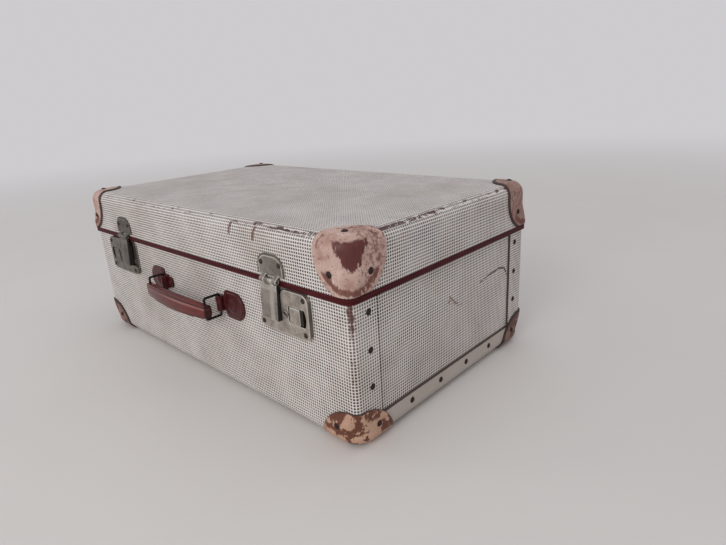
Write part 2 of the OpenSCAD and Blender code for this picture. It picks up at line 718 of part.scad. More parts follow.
// Keeper: a strap over the loop's inner bar, with an ear inside and a foot under the washer
module keeper_strap() {
    translate([loop_x, 0]) square([dome_x + dome_r - loop_x, foot_t]);
    difference() {
        union() {
            translate([loop_x, loop_out - lie]) circle(hump_r);
            translate([loop_x - hump_r, 0]) square([2 * hump_r, loop_out - lie]);
        }
        translate([loop_x, loop_out - lie]) circle(keeper_bore);
    }
}
module handle_keeper(s) color(burgundy) in_place() on_side(s) difference() {
    union() {
        on_front(lie) linear_extrude(keeper_t)
            round_box(loop_x - hump_r - keeper_ear, loop_x, keeper_z - keeper_ear_h / 2,
                keeper_z + keeper_ear_h / 2, ear_round);
        translate([0, -base_w / 2 - lie, keeper_z - keeper_h / 2]) linear_extrude(keeper_h)
            mirror([0, 1]) keeper_strap();
    }
    on_front() for (x = [ear_rivet_x, dome_x]) translate([x, keeper_z]) rivet_hole(4 * sheet_t);
}
module handle_keeper_left() handle_keeper(-1);
module handle_keeper_right() handle_keeper(1);

module handle_rivets() color(burgundy) in_place() for (s = [-1, 1]) on_side(s) on_front() {
    translate([ear_rivet_x, keeper_z, lie + keeper_t]) rivet(lie + keeper_t + sheet_t, lock_head_d);
    translate([dome_x, keeper_z, -sheet_t]) cylinder(d = rivet_d, h = sheet_t + lie + washer_t);
}

// Wire loop: four straight bars and four bends
module handle_loop(s) color(dark_steel) in_place() on_side(s)
    translate([loop_x, -base_w / 2 - loop_out - loop_len / 2, loop_z]) {
        for (m = [0, 1]) mirror([0, m, 0]) {
            translate([0, loop_len / 2, wire_bend - loop_h / 2])
                cylinder(d = wire_d, h = loop_h - 2 * wire_bend);
            mirror([0, 0, m]) translate([0, loop_len / 2 - wire_bend, loop_h / 2]) rotate([90, 0, 0])
                cylinder(d = wire_d, h = loop_len - 2 * wire_bend);
        }
        for (my = [0, 1], mz = [0, 1]) mirror([0, my, 0]) mirror([0, 0, mz])
            translate([0, loop_len / 2 - wire_bend, loop_h / 2 - wire_bend]) rotate([90, 0, 90])
                rotate_extrude(angle = 90) translate([wire_bend, 0]) circle(d = wire_d);
    }
module handle_loop_left() handle_loop(-1);
module handle_loop_right() handle_loop(1);

// Grip: a bowed, crowned moulding lofted through sections, bored upright for the loops
function grip_half_h(u) = grip_end_h / 2 + (grip_h - grip_end_h) / 2 * (1 - u * u);
function grip_y(u) = -grip_bow * (1 - u * u);
function signed_power(v, e) = sign(v) * pow(abs(v), e);
function ridge_at(turn) = exp(-pow(turn / ridge_spread, 2));
function ridge(a) = grip_ridge * (ridge_at(a - ridge_turn) + ridge_at(a - 360 + ridge_turn));
function grip_point(u, a) = [
    u * grip_l / 2,
    grip_y(u) - grip_t / 2 * signed_power(cos(a), grip_round) - ridge(a) * cos(a),
    grip_half_h(u) * signed_power(sin(a), grip_round) + ridge(a) * sin(a)
];
module handle_grip() color(burgundy) in_place()
    translate([0, -base_w / 2 - grip_out, grip_mid_z]) difference() {
        points = [for (i = [0 : grip_steps], k = [0 : grip_sides - 1])
            grip_point(2 * i / grip_steps - 1, 360 * k / grip_sides)];
        walls = [for (i = [0 : grip_steps - 1], k = [0 : grip_sides - 1], half = [0, 1])
            let (a = i * grip_sides + k, b = i * grip_sides + (k + 1) % grip_sides)
            half == 0 ? [a, b + grip_sides, b] : [a, a + grip_sides, b + grip_sides]];
        first = [for (k = [0 : grip_sides - 1]) k];
        last = [for (k = [0 : grip_sides - 1]) (grip_steps + 1) * grip_sides - 1 - k];
        polyhedron(points, concat(walls, [first, last]));
        for (s = [-1, 1]) translate([s * loop_x, -grip_back, -grip_h])
            cylinder(r = keeper_bore, h = 2 * grip_h);
    }

// Hinges: two knuckles on the base's leaf, one on the lid's leaf, and a pin
hinge_axis = [hinge_pin_out, hinge_axis_z];
hinge_third = hinge_w / 3;
hinge_curl = [0.14, -0.76];
module hinge_leaf_plate(x, z0, z1, out) on_back(out) linear_extrude(hinge_t)
    translate([-x, 0]) round_box(-hinge_w / 2, hinge_w / 2, z0, z1, hinge_leaf_r);
module hinge_base_leaf(s) color(nickel) in_place() on_side(s) difference() {
    union() {
        hinge_leaf_plate(hinge_x, hinge_base_top - hinge_base_h, hinge_base_top, lie);
        for (k = [-1, 1]) {
            x0 = hinge_x + (k < 0 ? -hinge_w / 2 : hinge_third / 2 + slack / 2);
            along_back(x0, x0 + hinge_third - slack / 2) {
                knuckle_ring(hinge_axis, hinge_knuckle_d, hinge_pin_d);
                difference() {
                    strip([lie + hinge_t / 2, hinge_base_top - 2 * hinge_t],
                        hinge_axis + hinge_knuckle_d / 2 * hinge_curl, hinge_t);
                    translate(hinge_axis) circle(d = hinge_knuckle_d - hinge_t);
                }
            }
        }
    }
    hinge_back_places(hinge_base_rivet_z, 0) rivet_hole(2 * sheet_t);
}
module hinge_base_leaf_left() hinge_base_leaf(-1);
module hinge_base_leaf_right() hinge_base_leaf(1);

module hinge_lid_leaf(s) color(nickel) in_place() on_side(s) difference() {
    union() {
        hinge_leaf_plate(hinge_x, hinge_lid_bottom, hinge_lid_bottom + hinge_lid_h, plate_out);
        along_back(hinge_x - hinge_third / 2 + slack / 2, hinge_x + hinge_third / 2 - slack / 2) {
            elbow = [hinge_pin_out - hinge_t / 2, lid_z + band_h + hinge_t / 2];
            knuckle_ring(hinge_axis, hinge_knuckle_d, hinge_pin_d);
            strip([plate_out + hinge_t / 2, hinge_lid_bottom + hinge_leaf_r], elbow, hinge_t);
            translate(elbow) circle(d = hinge_t);
            difference() {
                strip(elbow, hinge_axis + [hinge_knuckle_d / 2 - hinge_t / 2, hinge_t / 3], hinge_t);
                translate(hinge_axis) circle(d = hinge_knuckle_d - hinge_t);
            }
        }
    }
    hinge_back_places(hinge_lid_rivet_z, plate_out) rivet_hole(2 * sheet_t);
}
module hinge_lid_leaf_left() hinge_lid_leaf(-1);
module hinge_lid_leaf_right() hinge_lid_leaf(1);

module hinge_pin(s) color(nickel) in_place() on_side(s)
    translate([hinge_x - hinge_w / 2, base_w / 2 + hinge_pin_out, hinge_axis_z])
        rotate([0, 90, 0]) cylinder(d = hinge_pin_d, h = hinge_w);
module hinge_pin_left() hinge_pin(-1);
module hinge_pin_right() hinge_pin(1);

module hinge_base_rivets() color(dark_steel) in_place()
    hinge_back_places(hinge_base_rivet_z, lie + hinge_t) rivet(lie + hinge_t + sheet_t, lock_head_d);
module hinge_lid_rivets() color(dark_steel) in_place()
    hinge_back_places(hinge_lid_rivet_z, plate_out + hinge_t) rivet(lie + hinge_t + sheet_t, lock_head_d);

// Lid: one pressed shell
module lid_shell() color(board) in_place() difference() {
    lid_form(0);
    lid_form(-sheet_t, cut);
    for (sx = [-1, 1], sy = [-1, 1]) at_corner(sx, sy) lid_cap_places(0) rivet_hole(2 * sheet_t);
    for (s = [-1, 1]) on_side(s) lock_places()
        for (p = hasp_plate_rivets_at) translate([p.x, p.y, lid_over]) rivet_hole(2 * sheet_t);
    hinge_back_places(hinge_lid_rivet_z, lid_over) rivet_hole(2 * sheet_t);
}

// Paper lining of the lid, down to the binding
module lid_lining_form(g, under)
    translate([0, 0, lid_z + band_h + slack - under])
        rounded_block(lid_l - 2 * sheet_t - 2 * skin + 2 * g, lid_w - 2 * sheet_t - 2 * skin + 2 * g,
            lid_h - band_h - slack - sheet_t - skin + under + g, ball_r - sheet_t - skin + g,
            top_r - sheet_t - skin + g);
module lid_lining() color(paper) in_place() difference() {
    lid_lining_form(0, 0);
    lid_lining_form(-lining_t, cut);
}

// Binding folded round the lid's rim
module lid_ring(g0, g1) difference() {
    round_rect(lid_l + 2 * g1, lid_w + 2 * g1, lid_r + g1);
    round_rect(lid_l + 2 * g0, lid_w + 2 * g0, lid_r + g0);
}
module lid_rim_binding() color(burgundy) in_place() translate([0, 0, lid_z]) difference() {
    linear_extrude(band_h) lid_ring(-sheet_t - lie - band_t, lie + band_t);
    translate([0, 0, band_t - lie]) linear_extrude(band_h) lid_ring(-sheet_t - lie, lie);
}

// Pressed cap on a top corner, cut straight above the binding
module lid_cap(sx, sy) color(fibre) in_place() at_corner(sx, sy) difference() {
    intersection() {
        translate([lid_l / 2 - lid_cap_in_x, -(lid_w / 2 - lid_cap_in_y), lid_top - lid_cap_drop])
            sphere(lid_cap_r);
        difference() {
            lid_form(lie + cap_t);
            lid_form(lie, cut);
        }
        translate([0, -lid_w, lid_z + band_h + slack]) cube([lid_l, lid_w, 2 * lid_h]);
    }
    lid_cap_places(lie) rivet_hole(2 * cap_t);
}
module lid_cap_front_left() lid_cap(-1, -1);
module lid_cap_front_right() lid_cap(1, -1);
module lid_cap_back_left() lid_cap(-1, 1);
module lid_cap_back_right() lid_cap(1, 1);

module lid_cap_rivets() color(dark_steel) in_place()
    for (sx = [-1, 1], sy = [-1, 1]) at_corner(sx, sy)
        lid_cap_places(cap_t + lie) rivet(cap_t + lie + sheet_t);

base_wrap();
base_end_left();
base_end_right();
base_rim_lip();
base_lining();
base_cap_front_left();
base_cap_front_right();
base_cap_back_left();
base_cap_back_right();
base_cap_rivets();
end_rivets_left();
end_rivets_right();
lock_plate_left();
lock_plate_right();
lock_rivets();
handle_washer_left();
handle_washer_right();
handle_keeper_left();
handle_keeper_right();
handle_rivets();
hinge_base_leaf_left();
hinge_base_leaf_right();
hinge_pin_left();
hinge_pin_right();
hinge_base_rivets();
lid_shell();
lid_lining();
lid_rim_binding();
lid_cap_front_left();
lid_cap_front_right();
lid_cap_back_left();
lid_cap_back_right();
lid_cap_rivets();
hasp_plate_left();
hasp_plate_right();
hasp_plate_rivets();
hasp_pin_left();
hasp_pin_right();
hinge_lid_leaf_left();
hinge_lid_leaf_right();
hinge_lid_rivets();
hasp_left();
hasp_right();
slide_left();
slide_right();
key_barrel_left();
key_barrel_right();
handle_grip();
handle_loop_left();
handle_loop_right();
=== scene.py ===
import json
import math

import bmesh
import bpy
from mathutils import Matrix, Vector

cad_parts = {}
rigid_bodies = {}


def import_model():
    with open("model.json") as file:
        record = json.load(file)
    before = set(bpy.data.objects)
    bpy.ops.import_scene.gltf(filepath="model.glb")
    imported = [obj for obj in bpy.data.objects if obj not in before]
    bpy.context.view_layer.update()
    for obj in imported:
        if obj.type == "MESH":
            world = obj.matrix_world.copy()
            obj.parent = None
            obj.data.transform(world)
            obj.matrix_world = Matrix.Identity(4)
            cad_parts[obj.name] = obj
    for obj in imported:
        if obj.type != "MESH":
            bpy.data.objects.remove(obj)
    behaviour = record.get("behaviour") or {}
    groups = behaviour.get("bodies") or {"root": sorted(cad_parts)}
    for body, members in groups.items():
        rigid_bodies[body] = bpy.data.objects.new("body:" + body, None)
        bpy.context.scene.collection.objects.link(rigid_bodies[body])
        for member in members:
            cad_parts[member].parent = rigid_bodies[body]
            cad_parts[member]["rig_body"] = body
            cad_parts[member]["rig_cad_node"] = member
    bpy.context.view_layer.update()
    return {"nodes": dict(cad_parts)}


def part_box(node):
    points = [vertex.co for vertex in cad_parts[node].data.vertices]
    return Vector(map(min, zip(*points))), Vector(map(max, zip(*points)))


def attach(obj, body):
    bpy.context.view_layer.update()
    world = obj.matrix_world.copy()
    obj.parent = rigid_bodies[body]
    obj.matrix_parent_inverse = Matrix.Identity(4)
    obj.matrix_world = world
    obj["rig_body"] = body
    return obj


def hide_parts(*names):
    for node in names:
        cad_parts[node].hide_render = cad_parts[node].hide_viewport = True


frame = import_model()
nodes = frame["nodes"]

# Base board: one sheet of fibreboard bent into front, bottom and back, with its flanges riveted onto the
# two end panels. It is covered with off-white paper that is printed with a small dark check.
# The print is rubbed through to red-brown fibre along the upright corners and the cut edges.
mm_per_m = 1000.0


class Wire:
    """A socket of a material's node tree. Arithmetic on it adds Math nodes."""

    def __init__(self, tree, socket):
        self.tree = tree
        self.socket = socket

    def node(self, kind, settings, inputs, output=0):
        made = self.tree.nodes.new(kind)
        for name, value in settings.items():
            setattr(made, name, value)
        for key, value in inputs.items():
            if isinstance(value, Wire):
                self.tree.links.new(value.socket, made.inputs[key])
            else:
                made.inputs[key].default_value = value
        return Wire(self.tree, made.outputs[output])

    def math(self, operation, *others):
        return self.node("ShaderNodeMath", {"operation": operation}, dict(enumerate((self, *others))))

    def __add__(self, other):
        return self.math("ADD", other)

    __radd__ = __add__

    def __sub__(self, other):
        return self.math("SUBTRACT", other)

    def __rsub__(self, other):
        return self.node("ShaderNodeMath", {"operation": "SUBTRACT"}, {0: other, 1: self})

    def __mul__(self, other):
        return self.math("MULTIPLY", other)

    __rmul__ = __mul__

    def __truediv__(self, other):
        return self.math("DIVIDE", other)

    def __abs__(self):
        return self.math("ABSOLUTE")


def paint(red, green, blue):
    """A colour given as it is seen on a screen, 0 to 255, made linear."""
    linear = []
    for level in (red, green, blue):
        share = level / 255
        linear.append(share / 12.92 if level <= 10 else ((share + 0.055) / 1.055) ** 2.4)
    return (*linear, 1.0)


def ease(value, low, high):
    """0 below low, 1 above high, with a smooth change between."""
    return value.node(
        "ShaderNodeMapRange",
        {"interpolation_type": "SMOOTHSTEP"},
        {"Value": value, "From Min": low, "From Max": high},
    )


def any_of(masks):
    """The strongest of several masks."""
    strongest = masks[0]
    for mask in masks[1:]:
        strongest = strongest.math("MAXIMUM", mask)
    return strongest


def mixed(mask, under, over):
    """The colour under where the mask is 0 and over where it is 1."""
    return mask.node("ShaderNodeMix", {"data_type": "RGBA"}, {0: mask, 6: under, 7: over}, 2)


def grain(point, scale, stretch=(1, 1, 1), detail=3.0, rough=0.55):
    """Noise of that many blotches per millimetre, about 0.5 on average."""
    drawn = point.node("ShaderNodeVectorMath", {"operation": "MULTIPLY"}, {0: point, 1: stretch})
    return point.node(
        "ShaderNodeTexNoise",
        {},
        {"Vector": drawn, "Scale": scale, "Detail": detail, "Roughness": rough},
        "Fac",
    )


def split(point):
    """The x, y and z of a point."""
    x = point.node("ShaderNodeSeparateXYZ", {}, {0: point}, "X")
    parts = x.socket.node
    return x, Wire(point.tree, parts.outputs["Y"]), Wire(point.tree, parts.outputs["Z"])


def new_finish(name):
    """A material, its surface shader and the surface point in millimetres."""
    material = bpy.data.materials.new(name)
    material.use_nodes = True
    tree = material.node_tree
    surface = tree.nodes["Principled BSDF"]
    metres = Wire(tree, tree.nodes.new("ShaderNodeTexCoord").outputs["Object"])
    point = metres.node("ShaderNodeVectorMath", {"operation": "SCALE"}, {0: metres, "Scale": mm_per_m})
    return material, surface, point


def dress(surface, values):
    """Sets or links the shader's sockets."""
    for name, value in values.items():
        if isinstance(value, Wire):
            value.tree.links.new(value.socket, surface.inputs[name])
        else:
            surface.inputs[name].default_value = value


def relief(height, deep_mm):
    """A bump of that depth from a height between 0 and 1."""
    return height.node(
        "ShaderNodeBump",
        {},
        {"Height": height, "Distance": deep_mm / mm_per_m, "Strength": 1.0},
        "Normal",
    )


def give(material, *names):
    """Puts a finish on CAD nodes."""
    for name in names:
        mesh = nodes[name].data
        mesh.materials.clear()
        mesh.materials.append(material)


case_mid = (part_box("base_wrap")[0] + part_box("base_wrap")[1]) / 2 * mm_per_m
check_pitch = 3.0
dot_share = 0.62
dot_blur = 0.14
dot_link = 0.11
print_grain = 0.5
paper_white = paint(229, 222, 217)
check_dark = paint(48, 38, 36)
dark_edge = paint(56, 38, 33)


def printed_check(along, up, wobble):
    """Mask of the printed dots on a square grid, faintly linked along its rows and columns."""
    dark_share = dot_share + 0.2 * (wobble - 0.5)
    sides = []
    for place in (along, up):
        from_middle = abs((place / check_pitch).math("FRACT") - 0.5) * 2
        sides.append(ease(dark_share - from_middle, -dot_blur, dot_blur))
    linked = (sides[0] + sides[1]) * dot_link
    return (sides[0] * sides[1]).math("MAXIMUM", linked)


def round_the_wall(x, y, half_l, half_w, corner_r):
    """Distance along the wall from the middle of the front or back, and the turn round its corner."""
    never_zero = 0.0001
    past_x = abs(x) - (half_l - corner_r)
    past_y = abs(y) - (half_w - corner_r)
    turn = past_x.math("MAXIMUM", 0.0).math("ARCTAN2", past_y.math("MAXIMUM", never_zero))
    along = (half_l - corner_r) + past_x.math("MINIMUM", 0.0) + corner_r * turn
    along = along - past_y.math("MINIMUM", 0.0)
    return along, turn


board_edge_r = 12
flat_from = 0.72


def board_finish(name, node, corner_r, upward):
    """The printed board of the base or the lid, whose closed side faces up or down, and the place on it."""
    material, surface, point = new_finish(name)
    low, high = [corner * mm_per_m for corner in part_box(node)]
    half_l = (high.x - low.x) / 2
    half_w = (high.y - low.y) / 2
    x, y_row, z = split(point)
    y = y_row - case_mid.y
    along, turn = round_the_wall(x, y, half_l, half_w, corner_r)
    edge_z = high.z - board_edge_r if upward else low.z + board_edge_r
    height = (z - edge_z) if upward else (edge_z - z)
    share = height / board_edge_r
    lift = share.node("ShaderNodeClamp", {}, {"Value": share})
    level = height.math("MINIMUM", 0.0) + lift.math("ARCSINE") * board_edge_r
    flat = lift.math("GREATER_THAN", flat_from)
    return material, surface, point, {
        "x": x, "y": y, "z": z, "turn": turn, "lift": lift, "half_l": half_l, "half_w": half_w,
        "print_x": along + (abs(x) - along) * flat,
        "print_y": level + (abs(y) - level) * flat,
    }


def aged_paper(point, dots, dot_strength=1.0):
    """Off-white paper with the check, soiled unevenly by handling."""
    soil = ease(grain(point, 0.012, detail=5.0), 0.42, 0.72)
    specks = ease(grain(point, 0.35, detail=2.0), 0.66, 0.74)
    faded = ease(grain(point, 0.03, detail=4.0), 0.35, 0.7)
    paper = mixed(soil * 0.4, paper_white, paint(188, 174, 162))
    printed = mixed(dots * dot_strength * (1 - 0.22 * faded), paper, check_dark)
    marks = ease(grain(point, 0.05, stretch=(0.35, 1, 1.6), detail=6.0, rough=0.7), 0.68, 0.72)
    printed = mixed(marks * 0.5, printed, paint(158, 112, 104))
    return mixed(specks * 0.35, printed, paint(150, 128, 118))


def dress_board(surface, point, colour, dots, fine, least_rough):
    """Satin paper, on which the print stands up a little."""
    dress(surface, {
        "Base Color": colour,
        "Roughness": least_rough + 0.2 * grain(point, 0.05),
        "Normal": relief(dots * 0.5 + fine * 0.5, deep_mm=0.06),
        "Specular IOR Level": 0.35,
    })


base_corner_r = 7
base_wrap_finish, surface, point, at = board_finish(
    "printed_board_base", "base_wrap", base_corner_r, upward=False
)
fine = grain(point, print_grain)
dots = printed_check(at["print_x"], at["print_y"], fine)
ragged = grain(point, 0.22, detail=4.0)

seam_in = 33
flange_top = 27.5
end_depth = 4
line_overlap = 0.5
line_half = 1
on_end = (abs(at["x"]) - (at["half_l"] - end_depth)).math("GREATER_THAN", 0.0)
from_seam = abs(abs(at["y"]) - (at["half_w"] - seam_in))
from_flange = abs(at["z"] - flange_top)
between_seams = (abs(at["y"]) - (at["half_w"] - seam_in - line_overlap)).math("LESS_THAN", 0.0)
above_flange = (at["z"] - (flange_top - line_overlap)).math("GREATER_THAN", 0.0)
plain_flange = on_end * (at["z"] - (flange_top + line_half)).math("LESS_THAN", 0.0)
far_seam = at["y"].math("GREATER_THAN", 0.0) * 0.8
seam_line = on_end * above_flange * (1 - ease(from_seam + ragged * 0.9 - far_seam, 1.0, 1.5))
flange_line = on_end * between_seams * (1 - ease(from_flange + ragged * 1.2, 1.7, 2.4))

crest_turn = 0.785
rubbed_through_z = (142.0, 162.0)
rubbed_dots_z = (78.0, 120.0)
rubbed_streaks_z = (45.0, 75.0)
rub_noise = grain(point, 0.2, stretch=(1, 1, 0.3), detail=5.0)
corner_crest = 1 - ease(abs(at["turn"] - crest_turn) + (ragged - 0.5) * 1.6, 0.12, 0.5)
rub_reach = ease(at["z"] + rub_noise * 70, *rubbed_through_z)
rub_dots = dots * ease(at["z"] + rub_noise * 90, *rubbed_dots_z) * 0.85
rub_streaks = ease(rub_noise, 0.54, 0.6) * ease(at["z"], *rubbed_streaks_z) * 0.8
wear_and_highlight = corner_crest * any_of([rub_reach, rub_dots, rub_streaks])

recess_x = 183
recess_z = 119.8
recess_half_w = 16.5
recess_half_h = 12.5
# Painted shade on the front board behind each lock, seen through the slide's window.
lock_recess_shade = abs(abs(at["x"]) - recess_x).math("LESS_THAN", recess_half_w)
lock_recess_shade = lock_recess_shade * abs(at["z"] - recess_z).math("LESS_THAN", recess_half_h)

board = aged_paper(point, dots, 1 - plain_flange * 0.92)
board = mixed(plain_flange * 0.8, board, paint(167, 155, 146))
board = mixed(wear_and_highlight * 0.9, board, paint(78, 36, 32))
board = mixed(seam_line.math("MAXIMUM", flange_line) * 0.92, board, dark_edge)
board = mixed(lock_recess_shade * at["y"].math("LESS_THAN", 0.0), board, paint(66, 52, 47))
dress_board(surface, point, board, dots, fine, least_rough=0.52)
give(base_wrap_finish, "base_wrap")

# End panels: a flat sheet of the same printed board behind the flanges of each end.
# The right one carries a scraped place and a long curved scratch where the print is gone.
end_panel, surface, point = new_finish("printed_board_end")
x, y_row, z = split(point)
y = y_row - case_mid.y
fine = grain(point, print_grain)
dots = printed_check(y, z, fine)


def band(value, low, full, end, high):
    """0 below low, 1 from full to end, and 0 again above high."""
    return ease(value, low, full) * (1 - ease(value, end, high))


def stroke(y, z, start, end, width, waver):
    """Mask of a thin mark drawn from start to end on the end panel."""
    tip = 1.0
    run_y = end[0] - start[0]
    run_z = end[1] - start[1]
    length = math.hypot(run_y, run_z)
    forward = ((y - start[0]) * (run_y / length)) + ((z - start[1]) * (run_z / length))
    aside = ((y - start[0]) * (-run_z / length)) + ((z - start[1]) * (run_y / length)) + waver
    return band(forward, -tip, tip, length - tip, length + tip) * (1 - ease(abs(aside), width * 0.5, width))


waver = (grain(point, 0.11, detail=3.0) - 0.5) * 2.6
scratch_path = ((54, 101), (74, 104), (94, 106.5), (107, 103.5), (114, 93))
scratch_widths = (1.3, 1.5, 1.6, 1.6)
scratch = any_of([
    stroke(y, z, start, end, width, waver)
    for start, end, width in zip(scratch_path, scratch_path[1:], scratch_widths)
])
scratch = scratch * ease(grain(point, 0.2), 0.3, 0.4)
scrape = stroke(y, z, (-8, 99), (18, 88), 2.6, waver) * ease(grain(point, 0.28, detail=4.0), 0.46, 0.56)
scrape = scrape.math("MAXIMUM", stroke(y, z, (-5, 104), (4, 95), 1.3, waver))
on_right_end = x.math("GREATER_THAN", 0.0)
board = aged_paper(point, dots)
board = mixed(scratch * on_right_end * 0.9, board, paint(70, 42, 36))
board = mixed(scrape * on_right_end * 0.8, board, paint(120, 74, 62))
dress_board(surface, point, board, dots, fine, least_rough=0.52)
give(end_panel, "base_end_left", "base_end_right")

# Inside of the base: a plain board lip that locates the lid, and a glued lining of buff paper.
# The paper is yellowed and faintly mottled, and the lid is lined with the same.
lip_finish, surface, point = new_finish("plain_board_lip")
fibres = grain(point, 0.4, stretch=(0.3, 0.3, 2.0), detail=4.0)
dress(surface, {
    "Base Color": mixed(fibres, paint(150, 116, 92), paint(176, 142, 116)),
    "Roughness": 0.7 + 0.2 * fibres,
    "Normal": relief(fibres, deep_mm=0.08),
})
give(lip_finish, "base_rim_lip")

lining_finish, surface, point = new_finish("lining_paper")
mottle = grain(point, 0.03, detail=6.0)
flecks = ease(grain(point, 0.7, detail=1.0), 0.62, 0.7)
paper = mixed(ease(mottle, 0.35, 0.7), paint(210, 193, 162), paint(200, 179, 145))
dress(surface, {
    "Base Color": mixed(flecks * 0.25, paper, paint(150, 118, 88)),
    "Roughness": 0.85,
    "Normal": relief(grain(point, 0.9, detail=4.0), deep_mm=0.05),
})
give(lining_finish, "base_lining", "lid_lining")

# Lid: one pressed shell of the same printed board. The paper is rubbed through in dashes along its upper
# edges, most of all on the right end near the front corner, and the front has two short upright scuffs.
lid_corner_r = 9
lid_finish, surface, point, at = board_finish("printed_board_lid", "lid_shell", lid_corner_r, upward=True)
fine = grain(point, print_grain)
dots = printed_check(at["print_x"], at["print_y"], fine)


def near(value, centre, full, none):
    """1 within full of the centre and 0 beyond none."""
    return 1 - ease(abs(value - centre), full, none)


dashes = grain(point, 0.16, stretch=(0.6, 0.6, 1.6), detail=5.0)
on_end = ease(at["turn"], 0.5, 1.3)
on_front = at["y"].math("LESS_THAN", 0.0)
near_front = 1 - ease(at["y"], -120.0, 70.0)
near_right = ease(at["x"], 40.0, 215.0) * on_front * (1 - on_end)
crest = near(at["lift"], 0.8, 0.06, 0.17)
edge_wear = crest * ease(dashes + on_end * (0.08 + 0.12 * near_front) + near_right * 0.14, 0.58, 0.66)
fine_dashes = near(at["lift"], 0.62, 0.03, 0.1) * ease(grain(point, 0.4, detail=2.0), 0.58, 0.64)
scuff_tip = 1.5
scuffs = []
for scuff_x, scuff_low, scuff_high in ((90.0, 181.0, 193.0), (128.0, 179.0, 192.5)):
    lean = (at["z"] - scuff_low) * 0.25 + (fine - 0.5) * 4
    scuff = 1 - ease(abs(at["x"] - scuff_x - lean), 1.3, 2.4)
    scuff = scuff * ease(at["z"], scuff_low, scuff_low + scuff_tip)
    scuff = scuff * (1 - ease(at["z"], scuff_high, scuff_high + scuff_tip))
    scuffs.append(scuff * on_front)
board = aged_paper(point, dots)
board = mixed(fine_dashes * 0.7, board, paint(84, 58, 52))
board = mixed(edge_wear * 0.92, board, paint(72, 42, 37))
board = mixed(any_of(scuffs) * 0.85, board, paint(98, 58, 54))
dress_board(surface, point, board, dots, fine, least_rough=0.5)
give(lid_finish, "lid_shell")

# Rim binding: a strip of dark burgundy covering folded over the lid's rim and pressed flat, with rounded
# folds. It is satin, with lighter rubbed streaks along its length.


def shaped_copy(node):
    """A copy of a CAD piece with its loose triangles joined, which rides with it and stands for it."""
    same_point_m = 0.00001
    same_plane = math.radians(0.5)
    bpy.ops.object.select_all(action="DESELECT")
    nodes[node].select_set(True)
    bpy.context.view_layer.objects.active = nodes[node]
    bpy.ops.object.duplicate()
    piece = bpy.context.object
    piece.name = node + "_shaped"
    body = piece["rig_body"]
    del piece["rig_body"]
    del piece["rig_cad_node"]
    bpy.ops.object.parent_clear(type="CLEAR_KEEP_TRANSFORM")
    bpy.ops.object.mode_set(mode="EDIT")
    bpy.ops.mesh.select_all(action="SELECT")
    bpy.ops.mesh.remove_doubles(threshold=same_point_m)
    bpy.ops.mesh.dissolve_limited(angle_limit=same_plane)
    bpy.ops.mesh.customdata_custom_splitnormals_clear()
    bpy.ops.object.mode_set(mode="OBJECT")
    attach(piece, body)
    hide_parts(node)
    return piece


def round_folds(piece, width_mm):
    """Rounds the sharp folds of a pressed strip."""
    rounding = piece.modifiers.new("rounded_folds", "BEVEL")
    rounding.width = width_mm / mm_per_m
    rounding.segments = 3
    rounding.limit_method = "ANGLE"
    rounding.angle_limit = math.radians(32)
    rounding.use_clamp_overlap = False
    bpy.context.view_layer.objects.active = piece
    bpy.ops.object.modifier_apply(modifier=rounding.name)
    bpy.ops.object.select_all(action="DESELECT")
    piece.select_set(True)
    bpy.ops.object.shade_smooth_by_angle(angle=math.radians(35))


def coat(piece, material):
    """Puts a finish on a shaped piece."""
    piece.data.materials.clear()
    piece.data.materials.append(material)


binding_finish, surface, point = new_finish("burgundy_binding")
streaks = grain(point, 0.5, stretch=(0.12, 0.12, 1.5), detail=4.0)
rubs = ease(grain(point, 0.05, detail=4.0), 0.6, 0.75)
strip_colour = mixed(ease(streaks, 0.3, 0.75), paint(50, 8, 14), paint(84, 25, 31))
dress(surface, {
    "Base Color": mixed(rubs * 0.25, strip_colour, paint(112, 62, 60)),
    "Roughness": 0.4 + 0.25 * streaks,
    "Normal": relief(streaks, deep_mm=0.08),
    "Specular IOR Level": 0.12,
})
binding = shaped_copy("lid_rim_binding")
round_folds(binding, width_mm=0.35)
coat(binding, binding_finish)

# Corner caps: vulcanised fibre pressed to a soft bulging shape, painted pink-beige, fixed with dark rivets.
# The paint is worn through to red-brown fibre, in a large patch on the front right lid cap, in streaks near
# the lower edges, and over half of each bottom cap. The rims are dark from the cut edge, widened with
# painted shade on all caps but the front right ones. The back lid caps are darker from dirt and painted
# shade, and the three other base caps from painted shade.


def press_smooth(piece, voxel_mm, passes):
    """Gives a piece an even mesh and eases its creases, as pressing does."""
    evened = piece.modifiers.new("even_mesh", "REMESH")
    evened.mode = "VOXEL"
    evened.voxel_size = voxel_mm / mm_per_m
    eased = piece.modifiers.new("eased_creases", "SMOOTH")
    eased.factor = 0.5
    eased.iterations = passes
    bpy.context.view_layer.objects.active = piece
    for step in (evened, eased):
        bpy.ops.object.modifier_apply(modifier=step.name)
    bpy.ops.object.select_all(action="DESELECT")
    piece.select_set(True)
    bpy.ops.object.shade_smooth()


def away_from(x, y, z, centre):
    """Distance in mm from a point given for the front right corner, mirrored to the other three."""
    flat_square = (abs(x) - centre[0]).math("POWER", 2.0) + (abs(y) - centre[1]).math("POWER", 2.0)
    return (flat_square + (z - centre[2]).math("POWER", 2.0)).math("SQRT")


